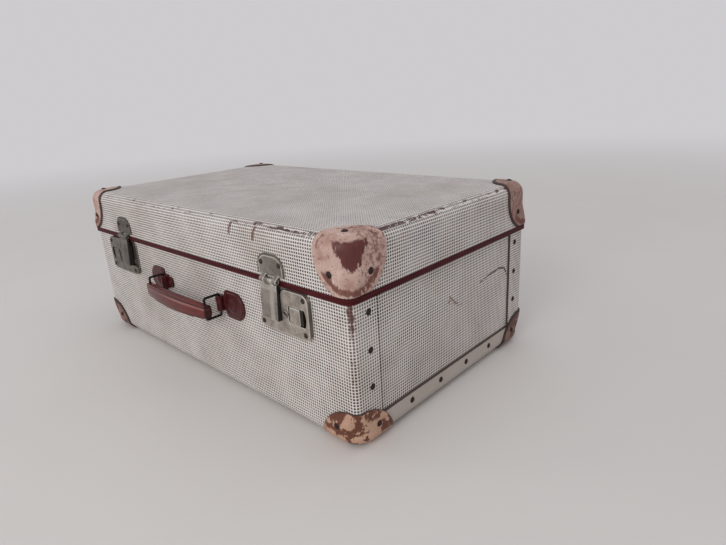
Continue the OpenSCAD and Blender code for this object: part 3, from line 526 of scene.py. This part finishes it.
def cap_ground(name, corner_mid, trim_mid, trim_r):
    """What the two kinds of cap share: the place on the cap and the grain of its wear."""
    material, surface, point = new_finish(name)
    x, y_row, z = split(point)
    y = y_row - case_mid.y
    streaky = grain(point, 0.24, stretch=(1, 1, 0.35), detail=6.0, rough=0.65)
    return material, surface, point, {
        "y": y,
        "z": z,
        "turn": (abs(x) - corner_mid[0]).math("ARCTAN2", abs(y) - corner_mid[1]),
        "from_rim": trim_r - away_from(x, y, z, trim_mid),
        "front_right": x.math("GREATER_THAN", 0.0) * y.math("LESS_THAN", 0.0),
        "streaky": streaky,
        "ragged": streaky - 0.5,
        "blotchy": grain(point, 0.075, detail=5.0, rough=0.6),
        "specks": ease(grain(point, 0.32, detail=3.0), 0.62, 0.68),
        "dirt": ease(grain(point, 0.06, detail=6.0), 0.42, 0.72),
    }


def cap_surface(surface, on_cap, painted, fibre, gone, rim_mm):
    """Paint over fibre, with a dark rim of the given width: the cut edge, and painted shade where it is
    wide.
    """
    rim = (1 - ease(on_cap["from_rim"] + on_cap["ragged"] * 1.2 - rim_mm, -0.3, 0.3)) * 0.92
    colour = mixed(rim, mixed(gone, painted, fibre), paint(48, 28, 24))
    dress(surface, {
        "Base Color": colour,
        "Roughness": 0.62 - 0.16 * gone,
        "Normal": relief((1 - gone) * 0.6 + on_cap["streaky"] * 0.4, deep_mm=0.2),
        "Specular IOR Level": 0.35,
    })


lid_cap_mid = (230, 130)
lid_trim_mid = (249, 142, 182.4)
lid_trim_r = 38.5
lid_cap_finish, surface, point, on_cap = cap_ground(
    "worn_paint_lid_caps", lid_cap_mid, lid_trim_mid, lid_trim_r
)
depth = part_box("lid_cap_front_right")[1].z * mm_per_m - on_cap["z"]
ragged = on_cap["ragged"]
this_corner = on_cap["front_right"]
patch_top = 6
patch_turn = 0.97
patch_half_turn = 0.82
patch_taper = 0.031
spread = patch_half_turn - (depth - patch_top) * patch_taper
patch = ease(spread - abs(on_cap["turn"] - patch_turn) + ragged * 1.1, -0.05, 0.05)
patch = patch * ease(depth + ragged * 7, 4.5, 6.5)
patch = patch * (1 - ease(depth + ragged * 22, 29.5, 32.0)) * this_corner
small_patch = ease(on_cap["blotchy"] + ragged * 0.3, 0.62, 0.66) * ease(depth, 3.0, 9.0) * (1 - this_corner)
low_on_cap = ease(depth + ragged * 6, 30.0, 34.0)
smile = band(on_cap["from_rim"] + ragged * 9, 4.5, 6.5, 10.0, 12.0)
smile = smile * low_on_cap * ease(on_cap["blotchy"] + on_cap["streaky"] * 0.9, 0.8, 0.88)
to_side = ease(on_cap["turn"], 1.0, 1.6)
freckles = ease(grain(point, 0.3, detail=4.0, rough=0.65) + 0.09 * to_side, 0.6, 0.65)
side_smudge = band(on_cap["from_rim"], 3.0, 5.0, 9.0, 13.0)
side_smudge = side_smudge * ease(grain(point, 0.12, stretch=(1, 1, 0.5), detail=5.0), 0.54, 0.62)
painted = mixed(on_cap["dirt"] * 0.75, paint(194, 164, 152), paint(150, 110, 97))
painted = mixed(ease(on_cap["streaky"], 0.5, 0.72) * 0.6, painted, paint(216, 194, 184))
painted = mixed(on_cap["specks"] * 0.7, painted, paint(132, 86, 74))
# Dirt and painted shade: the back lid caps are darker.
painted = mixed(on_cap["y"].math("GREATER_THAN", 0.0) * 0.55, painted, paint(116, 80, 70))
painted = mixed(freckles * 0.7, painted, paint(120, 72, 62))
painted = mixed(smile.math("MAXIMUM", side_smudge * 0.8) * 0.9, painted, paint(104, 54, 46))
fibre = mixed(grain(point, 0.4, stretch=(1, 1, 0.3)), paint(78, 34, 33), paint(104, 54, 50))
# The rim: a thin dark cut edge on the front right cap, widened by painted shade on the others.
lid_cap_rim = 3.0 - 2.5 * this_corner
cap_surface(surface, on_cap, painted, fibre, patch.math("MAXIMUM", small_patch * 0.7), lid_cap_rim)

base_cap_mid = (228, 128)
base_trim_mid = (243, 143, -2.5)
base_trim_r = 43.0
base_cap_finish, surface, point, on_cap = cap_ground(
    "worn_paint_base_caps", base_cap_mid, base_trim_mid, base_trim_r
)
other_corner = 1 - on_cap["front_right"]
worn = ease(on_cap["blotchy"] + on_cap["ragged"] * 0.3, 0.49, 0.53)
chips = ease(grain(point, 0.16, detail=4.0), 0.6, 0.64) * (1 - ease(on_cap["z"], 6.0, 14.0))
painted = mixed(on_cap["dirt"] * 0.6, paint(192, 155, 132), paint(160, 117, 94))
painted = mixed(on_cap["specks"] * 0.5, painted, paint(128, 80, 60))
# Painted shade: the paint here and the fibre below are darker on the three other base caps.
painted = mixed(other_corner * 0.7, painted, paint(98, 68, 62))
fibre = mixed(grain(point, 0.3, detail=5.0), paint(80, 41, 30), paint(118, 68, 46))
fibre = mixed(chips, fibre, paint(210, 182, 166))
fibre = mixed(other_corner * 0.5, fibre, paint(66, 42, 38))
# The rim: a thin dark cut edge on the front right cap, widened by painted shade on the others.
base_cap_rim = 0.7 + 2.3 * other_corner
cap_surface(surface, on_cap, painted, fibre, worn, base_cap_rim)

for place in ("front_left", "front_right", "back_left", "back_right"):
    for node, finish in (("lid_cap_" + place, lid_cap_finish), ("base_cap_" + place, base_cap_finish)):
        cap = shaped_copy(node)
        press_smooth(cap, voxel_mm=0.8, passes=8)
        coat(cap, finish)

# Rivets of the board and the caps: darkened steel with domed heads, dull and a little dusty.
# They hold the flanges to the end panels and the caps to the corners.
rivet_finish, surface, point = new_finish("dark_rivet_steel")
dust = grain(point, 0.8, detail=3.0)
dress(surface, {
    "Base Color": mixed(ease(dust, 0.45, 0.8), paint(34, 21, 18), paint(74, 50, 42)),
    "Metallic": 0.45,
    "Roughness": 0.45 + 0.3 * dust,
})
give(rivet_finish, "base_cap_rivets", "end_rivets_left", "end_rivets_right", "lid_cap_rivets")

# Locks: a pressed plate with a raised case, a slide with a bolt and a slotted key barrel, of nickel plated
# steel that has gone dull and grey. Painted shade darkens its creases, the slide's window, the case's sides
# and the key's slot, and painted highlights brighten its outer edges and the slide's top edge.
# The left lock is painted darker than the right one, as painted shade.
lock_mid_x = 152
board_front = 148
lock_case_out = 5.05
lock_face_y = case_mid.y - board_front - lock_case_out
barrel_low, barrel_high = [corner * mm_per_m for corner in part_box("key_barrel_right")]
barrel_mid = (barrel_low + barrel_high) / 2
nickel_tones = ((125, 118, 111), (174, 166, 158), (106, 98, 90))
outer_turn = (0.12, 0.3)
hollow_turn = (-0.3, -0.12)


def mark_edges(piece):
    """Writes on each point how far the surface turns there: above 0 on an outer edge, below in a hollow."""
    work = bmesh.new()
    work.from_mesh(piece.data)
    turns = []
    for vert in work.verts:
        angles = [edge.calc_face_angle_signed(0.0) for edge in vert.link_edges]
        turns.append(max(angles, key=abs, default=0.0))
    spread_turns = []
    for vert in work.verts:
        beside = [turns[edge.other_vert(vert).index] for edge in vert.link_edges]
        spread_turns.append((turns[vert.index] + sum(beside)) / (1 + len(beside)))
    work.free()
    piece.data.attributes.new("edge_turn", "FLOAT", "POINT").data.foreach_set("value", spread_turns)


def turned_edge(point, low, high):
    """Mask from the turn written on a piece's points, 0 below low and 1 above high."""
    turn = point.node("ShaderNodeAttribute", {"attribute_name": "edge_turn"}, {}, "Fac")
    return ease(turn, low, high)


def nickel_finish(name, brushed, painted_shade=None, light=1.0, wear_and_highlight=None):
    """Dull plate brushed along a direction; painted shade in creases, on the left and where given, painted
    highlights on edges and where given.
    """
    material, surface, point = new_finish(name)
    lines = grain(point, 2.0, stretch=brushed, detail=4.0)
    tarnish = ease(grain(point, 0.07, detail=6.0), 0.36, 0.68)
    spots = ease(grain(point, 0.45, detail=3.0), 0.62, 0.7)
    dark_line, bright_line, dull = [paint(*(level * light for level in tone)) for tone in nickel_tones]
    plate = mixed(tarnish * 0.7, mixed(ease(lines, 0.2, 0.8), dark_line, bright_line), dull)
    # Painted highlight on the outer edges.
    plate = mixed(turned_edge(point, *outer_turn) * 0.8, plate, paint(212, 208, 198))
    # Painted highlights at the places given.
    if wear_and_highlight is not None:
        plate = mixed(wear_and_highlight(point), plate, paint(214, 210, 200))
    # Painted shade: the left side of the case is darker.
    left_side_shade = split(point)[0].math("LESS_THAN", 0.0)
    plate = mixed(left_side_shade * 0.68, plate, paint(68, 63, 56))
    # Painted shade in the creases and at the places given, together with the dark spots.
    crease_shade = 1 - turned_edge(point, *hollow_turn)
    dark = (spots * 0.6).math("MAXIMUM", crease_shade * 0.85)
    if painted_shade is not None:
        dark = dark.math("MAXIMUM", painted_shade(point))
    dress(surface, {
        "Base Color": mixed(dark, plate, paint(28, 22, 18)),
        "Metallic": 0.8 - 0.7 * dark,
        "Roughness": 0.36 + 0.2 * tarnish,
        "Normal": relief(lines, deep_mm=0.03),
    })
    return material


window_x = (36.0, 36.5, 47.0, 47.5)
window_half_h = (9.6, 10.0)
hasp_side_of_case = (11.0, 11.4, 13.0, 13.6)
far_side_of_case = (48.2, 48.7)
key_hole_r = 3.7


def lock_painted_shade(point):
    """Painted shade in the slide's window behind the case's face, on the sides of the case, and in a line
    round the key.
    """
    x, y, z = split(point)
    aside = abs(x) - lock_mid_x
    behind = ease(y - lock_face_y, 0.5, 1.4)
    in_window = band(aside, *window_x) * near(z, barrel_mid.z, *window_half_h) * 0.55
    case_sides = band(aside, *hasp_side_of_case).math("MAXIMUM", ease(aside, *far_side_of_case) * 0.75)
    key_aside = aside - (barrel_mid.x - lock_mid_x)
    from_key = (key_aside.math("POWER", 2.0) + (z - barrel_mid.z).math("POWER", 2.0)).math("SQRT")
    key_line = near(from_key, key_hole_r, 0.3, 0.6)
    return (behind * in_window.math("MAXIMUM", case_sides)).math("MAXIMUM", key_line) * 0.95


def slide_painted_shade(point):
    """Painted shade on the part of the slide behind the face of the case."""
    return ease(split(point)[1] - lock_face_y, 0.2, 0.7) * 0.95


slot_slope = math.radians(-35)
slot_half_w = (0.9, 1.3)
slot_half_l = (2.7, 3.1)


def key_slot_shade(point):
    """Painted shade in the slot cut into the key barrel's face and on the barrel at and behind the case's
    face.
    """
    x, y, z = split(point)
    aside = abs(x) - barrel_mid.x
    across = abs((z - barrel_mid.z) * math.cos(slot_slope) - aside * math.sin(slot_slope))
    along = abs(aside * math.cos(slot_slope) + (z - barrel_mid.z) * math.sin(slot_slope))
    slot_shade_line = (1 - ease(across, *slot_half_w)) * (1 - ease(along, *slot_half_l))
    return ease(y - lock_face_y, -0.4, -0.1).math("MAXIMUM", slot_shade_line)


def slide_top_highlight(point):
    """Painted highlight on the slide's upper edge."""
    top_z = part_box("slide_right")[1].z * mm_per_m
    return ease(split(point)[2], top_z - 3.6, top_z - 2.6) * 0.7


lock_finish = nickel_finish("dull_nickel_lock", (0.2, 1, 1), lock_painted_shade, light=1.25)
slide_finish = nickel_finish("dull_nickel_slide", (1, 1, 0.2), slide_painted_shade, light=1.2, wear_and_highlight=slide_top_highlight)
key_finish = nickel_finish("dull_nickel_key", (1, 1, 1), key_slot_shade, light=1.25)
for side in ("left", "right"):
    for node, finish, voxel_mm in (
        ("lock_plate_" + side, lock_finish, 0.4),
        ("slide_" + side, slide_finish, 0.3),
        ("key_barrel_" + side, key_finish, 0.16),
    ):
        piece = shaped_copy(node)
        press_smooth(piece, voxel_mm, passes=2)
        mark_edges(piece)
        coat(piece, finish)

lock_rivet_finish, surface, point = new_finish("brown_rivet_steel")
dust = grain(point, 0.9, detail=3.0)
dress(surface, {
    "Base Color": mixed(ease(dust, 0.4, 0.75), paint(40, 33, 28), paint(88, 78, 68)),
    "Metallic": 0.6,
    "Roughness": 0.4 + 0.25 * dust,
})
give(lock_rivet_finish, "lock_rivets", "hasp_plate_rivets")

# Hasps: a plate riveted to the lid, a pin through its rolled knuckles, and a pressed hasp that swings on it
# and drops over the lock. They are of the same plated steel, brushed upright, with painted shade along the
# hasp's sides and the plate's rim, and painted highlights on the hasp's face, its bend and the plate's
# bend.
hasp_side_x = (11.4, 11.7)
hasp_face_x = (10.8, 11.4)
hasp_streak_x = 4.5
hasp_bend_down = 9


def hasp_side_shade(point):
    """Painted shade on the side walls of the hasp's tray."""
    return ease(abs(abs(split(point)[0]) - lock_mid_x), *hasp_side_x)


def hasp_highlights(point):
    """Painted highlights on an upright streak and the upper bend of the hasp."""
    x, _, z = split(point)
    aside = abs(x) - lock_mid_x
    bend_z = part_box("hasp_right")[1].z * mm_per_m - hasp_bend_down
    streak = near(aside, hasp_streak_x, 1.0, 4.5) * 0.5
    bend = near(z, bend_z, 1.5, 3.5)
    return streak.math("MAXIMUM", bend * 0.5) * (1 - ease(abs(aside), *hasp_face_x))


hasp_plate_r = 13
hasp_plate_half = 19
hasp_plate_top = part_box("hasp_plate_right")[1].z * mm_per_m


def from_plate_edge(point):
    """Distance in from the round-topped outline of the hasp's plate."""
    x, _, z = split(point)
    past_x = (abs(abs(x) - lock_mid_x) - (hasp_plate_half - hasp_plate_r)).math("MAXIMUM", 0.0)
    past_z = (z - (hasp_plate_top - hasp_plate_r)).math("MAXIMUM", 0.0)
    return hasp_plate_r - (past_x.math("POWER", 2.0) + past_z.math("POWER", 2.0)).math("SQRT")


def plate_rim_shade(point):
    """Painted shade on the turned-down rim of the hasp's plate."""
    return (1 - ease(from_plate_edge(point), 1.3, 1.9)) * 0.8


def plate_bend_highlight(point):
    """Painted highlight on the bend inside the rim of the hasp's plate."""
    return near(from_plate_edge(point), 2.5, 0.3, 0.9) * 0.75


hasp_finish = nickel_finish("dull_nickel_hasp", (1, 1, 0.12), hasp_side_shade, light=1.05, wear_and_highlight=hasp_highlights)
hasp_plate_finish = nickel_finish("dull_nickel_hasp_plate", (1, 1, 0.3), plate_rim_shade, wear_and_highlight=plate_bend_highlight)
for side in ("left", "right"):
    for node, finish in (("hasp_plate_" + side, hasp_plate_finish), ("hasp_" + side, hasp_finish)):
        piece = shaped_copy(node)
        press_smooth(piece, voxel_mm=0.35, passes=3)
        mark_edges(piece)
        coat(piece, finish)
    give(hasp_plate_finish, "hasp_pin_" + side)

# Handle: a moulded grip on two wire loops, which swing in keeper straps with domed D-shaped washers.
# Grip and fittings are burgundy and glossy, and the wire is blackened. The grip carries a painted highlight
# along its upper ridge, painted shade along its underside, and a dark grooved line along its upper back.
grip_finish, surface, point = new_finish("burgundy_grip")
x, _, z = split(point)
swirl = grain(point, 0.06, stretch=(0.25, 1, 1), detail=5.0)
nicks = ease(grain(point, 0.5, detail=3.0), 0.66, 0.72)
lines = grain(point, 0.35, stretch=(0.06, 1, 1), detail=3.0)
grip_low, grip_high = [corner * mm_per_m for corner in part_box("handle_grip")]
grip_half_h = (grip_high.z - grip_low.z) / 2
grip_half_l = (grip_high.x - grip_low.x) / 2
grip_taper = 0.24
top_back_line_height = 0.66
taper = 1 - grip_taper * (x / grip_half_l).math("POWER", 2.0)
height = (z - (grip_high.z + grip_low.z) / 2) / (grip_half_h * taper)
# Painted highlight along the grip's upper ridge, stronger towards the right end.
painted_highlight_band = ease(height + (lines - 0.5) * 0.2, 0.24, 0.4) * (1 - ease(height, 0.5, 0.58))
highlight_to_right = ease(x, -45.0, 25.0)
# A dark grooved line along the upper back of the grip.
top_back_line = near(height, top_back_line_height, 0.05, 0.11)
grip_ends = ease(abs(x), grip_half_l - 1.2, grip_half_l - 0.4)
grip_colour = mixed(ease(swirl, 0.35, 0.7), paint(82, 22, 22), paint(108, 40, 35))
grip_colour = mixed(ease(lines, 0.45, 0.7) * 0.5, grip_colour, paint(60, 16, 17))
grip_colour = mixed(painted_highlight_band * (0.2 + 0.4 * highlight_to_right), grip_colour, paint(172, 118, 112))
# Painted shade along the grip's underside.
grip_colour = mixed((1 - ease(height, -0.9, -0.2)) * 0.5, grip_colour, paint(58, 16, 16))
grip_colour = mixed(top_back_line * 0.85, grip_colour, paint(36, 9, 11))
grip_colour = mixed(grip_ends * 0.75, grip_colour, paint(38, 14, 14))
dress(surface, {
    "Base Color": mixed(nicks * 0.4, grip_colour, paint(64, 22, 22)),
    "Roughness": 0.17 + 0.14 * swirl,
    "Normal": relief(1 - top_back_line, deep_mm=0.25),
    "Specular IOR Level": 0.3,
})
grip = shaped_copy("handle_grip")
press_smooth(grip, voxel_mm=0.55, passes=3)
coat(grip, grip_finish)

fitting_finish, surface, point = new_finish("burgundy_fittings")
rubs = ease(grain(point, 0.25, detail=4.0), 0.5, 0.68)
dress(surface, {
    "Base Color": mixed(rubs * 0.5, paint(66, 20, 22), paint(100, 46, 44)),
    "Roughness": 0.3 + 0.2 * rubs,
    "Specular IOR Level": 0.25,
})


def round_washer_corners(piece, radius_mm):
    """Rounds the two square corners of a washer, on its straight side."""
    near_m = 0.003
    bpy.ops.object.select_all(action="DESELECT")
    piece.select_set(True)
    bpy.context.view_layer.objects.active = piece
    inner_x = min(abs(vert.co.x) for vert in piece.data.vertices)
    low_z = min(vert.co.z for vert in piece.data.vertices)
    high_z = max(vert.co.z for vert in piece.data.vertices)
    bpy.ops.object.mode_set(mode="EDIT")
    bpy.ops.mesh.select_mode(type="EDGE")
    bpy.ops.mesh.select_all(action="DESELECT")
    work = bmesh.from_edit_mesh(piece.data)
    for edge in work.edges:
        run = edge.verts[1].co - edge.verts[0].co
        middle = (edge.verts[0].co + edge.verts[1].co) / 2
        by_corner = abs(middle.x) - inner_x < near_m and min(middle.z - low_z, high_z - middle.z) < near_m
        edge.select_set(by_corner and abs(run.y) > 0.9 * run.length)
    bmesh.update_edit_mesh(piece.data)
    bpy.ops.mesh.bevel(offset=radius_mm / mm_per_m, offset_type="OFFSET", segments=6, affect="EDGES")
    bpy.ops.object.mode_set(mode="OBJECT")


for side in ("left", "right"):
    washer = shaped_copy("handle_washer_" + side)
    round_washer_corners(washer, radius_mm=6.0)
    keeper = shaped_copy("handle_keeper_" + side)
    for piece in (washer, keeper):
        press_smooth(piece, voxel_mm=0.4, passes=3)
        coat(piece, fitting_finish)
give(fitting_finish, "handle_rivets")

wire_finish, surface, point = new_finish("blackened_wire")
bright = ease(grain(point, 0.5, detail=3.0), 0.55, 0.7)
dress(surface, {
    "Base Color": mixed(bright * 0.4, paint(26, 21, 20), paint(80, 68, 62)),
    "Metallic": 0.6,
    "Roughness": 0.42,
})
give(wire_finish, "handle_loop_left", "handle_loop_right")

# Hinges on the back: two plated leaves with rolled knuckles on a pin, fixed with dark rivets.
# They are of the same dull plate as the locks, with rounded cut edges, and the left hinge is painted
# darker, as painted shade.
hinge_finish = nickel_finish("dull_nickel_hinge", (1, 1, 0.2))
for side in ("left", "right"):
    for node in ("hinge_base_leaf_" + side, "hinge_lid_leaf_" + side):
        piece = shaped_copy(node)
        press_smooth(piece, voxel_mm=0.4, passes=2)
        coat(piece, hinge_finish)
    give(hinge_finish, "hinge_pin_" + side)
give(rivet_finish, "hinge_base_rivets", "hinge_lid_rivets")

# Stage: a pale table top that fades into a pale grey room, with soft light from the front and the upper
# left. The camera stands where the photo was taken from.
bpy.ops.mesh.primitive_plane_add(size=12, location=(0, 0, 0))
table_top = bpy.context.object
table_top.name = "table_top"
table_finish, surface, point = new_finish("pale_table_paint")
dress(surface, {
    "Base Color": mixed(grain(point, 0.004, detail=2.0), paint(214, 209, 205), paint(220, 216, 212)),
    "Roughness": 0.55,
    "Specular IOR Level": 0.2,
})
wall_colour = paint(205, 203, 206)
fade_mm = (700.0, 3200.0)
table_tree = table_finish.node_tree
from_middle = point.node("ShaderNodeVectorMath", {"operation": "LENGTH"}, {0: point}, "Value")
table_ray = Wire(table_tree, table_tree.nodes.new("ShaderNodeLightPath").outputs["Is Camera Ray"])
wall_glow = point.node("ShaderNodeEmission", {}, {"Color": wall_colour, "Strength": 1.0}, "Emission")
painted_table = Wire(table_tree, surface.outputs["BSDF"])
faded_table = point.node(
    "ShaderNodeMixShader",
    {},
    {0: ease(from_middle, *fade_mm) * table_ray, 1: painted_table, 2: wall_glow},
)
table_tree.links.new(faded_table.socket, table_tree.nodes["Material Output"].inputs["Surface"])
table_top.data.materials.append(table_finish)

world = bpy.data.worlds.new("pale_room")
bpy.context.scene.world = world
world.use_nodes = True
room = world.node_tree
light_path = room.nodes.new("ShaderNodeLightPath")
seen = any_of([
    Wire(room, light_path.outputs[ray])
    for ray in ("Is Camera Ray", "Is Glossy Ray", "Is Transmission Ray")
])
room_light = (0.55, 0.55, 0.57, 1.0)
dress(room.nodes["Background"], {"Color": mixed(seen, room_light, wall_colour), "Strength": 1.0})


def lamp(name, place, size, power):
    """A square soft lamp that points at the middle of the case."""
    aim = Vector((0, 0, 0.1))
    data = bpy.data.lights.new(name, "AREA")
    data.shape = "SQUARE"
    data.size = size
    data.energy = power
    made = bpy.data.objects.new(name, data)
    made.location = place
    made.rotation_mode = "QUATERNION"
    made.rotation_quaternion = (aim - Vector(place)).to_track_quat("-Z", "Y")
    bpy.context.scene.collection.objects.link(made)


lamp("front_light", (0.6, -2.3, 1.2), size=1.2, power=23)
lamp("window_light", (-2.1, -1.3, 1.5), size=0.6, power=4)
lamp("ceiling_light", (0.3, 0.5, 2.4), size=2.0, power=6)

camera_data = bpy.data.cameras.new("photo_camera")
camera_data.sensor_width = 36
camera_data.lens = 26.05
camera = bpy.data.objects.new("photo_camera", camera_data)
bpy.context.scene.collection.objects.link(camera)
bpy.context.scene.camera = camera
azimuth = math.radians(43.79)
elevation = math.radians(18.53)
roll = math.radians(-3.44)
eye = (0.52562, -0.42003 + case_mid.y / mm_per_m, 0.30012)
back = Vector((
    math.sin(azimuth) * math.cos(elevation), -math.cos(azimuth) * math.cos(elevation), math.sin(elevation)
))
right = Vector((math.cos(azimuth), math.sin(azimuth), 0))
up = back.cross(right)
right_rolled = right * math.cos(roll) + up * math.sin(roll)
up_rolled = up * math.cos(roll) - right * math.sin(roll)
turned = Matrix((right_rolled, up_rolled, back)).transposed().to_4x4()
camera.matrix_world = Matrix.Translation(eye) @ turned
bpy.context.scene.view_settings.view_transform = "Standard"
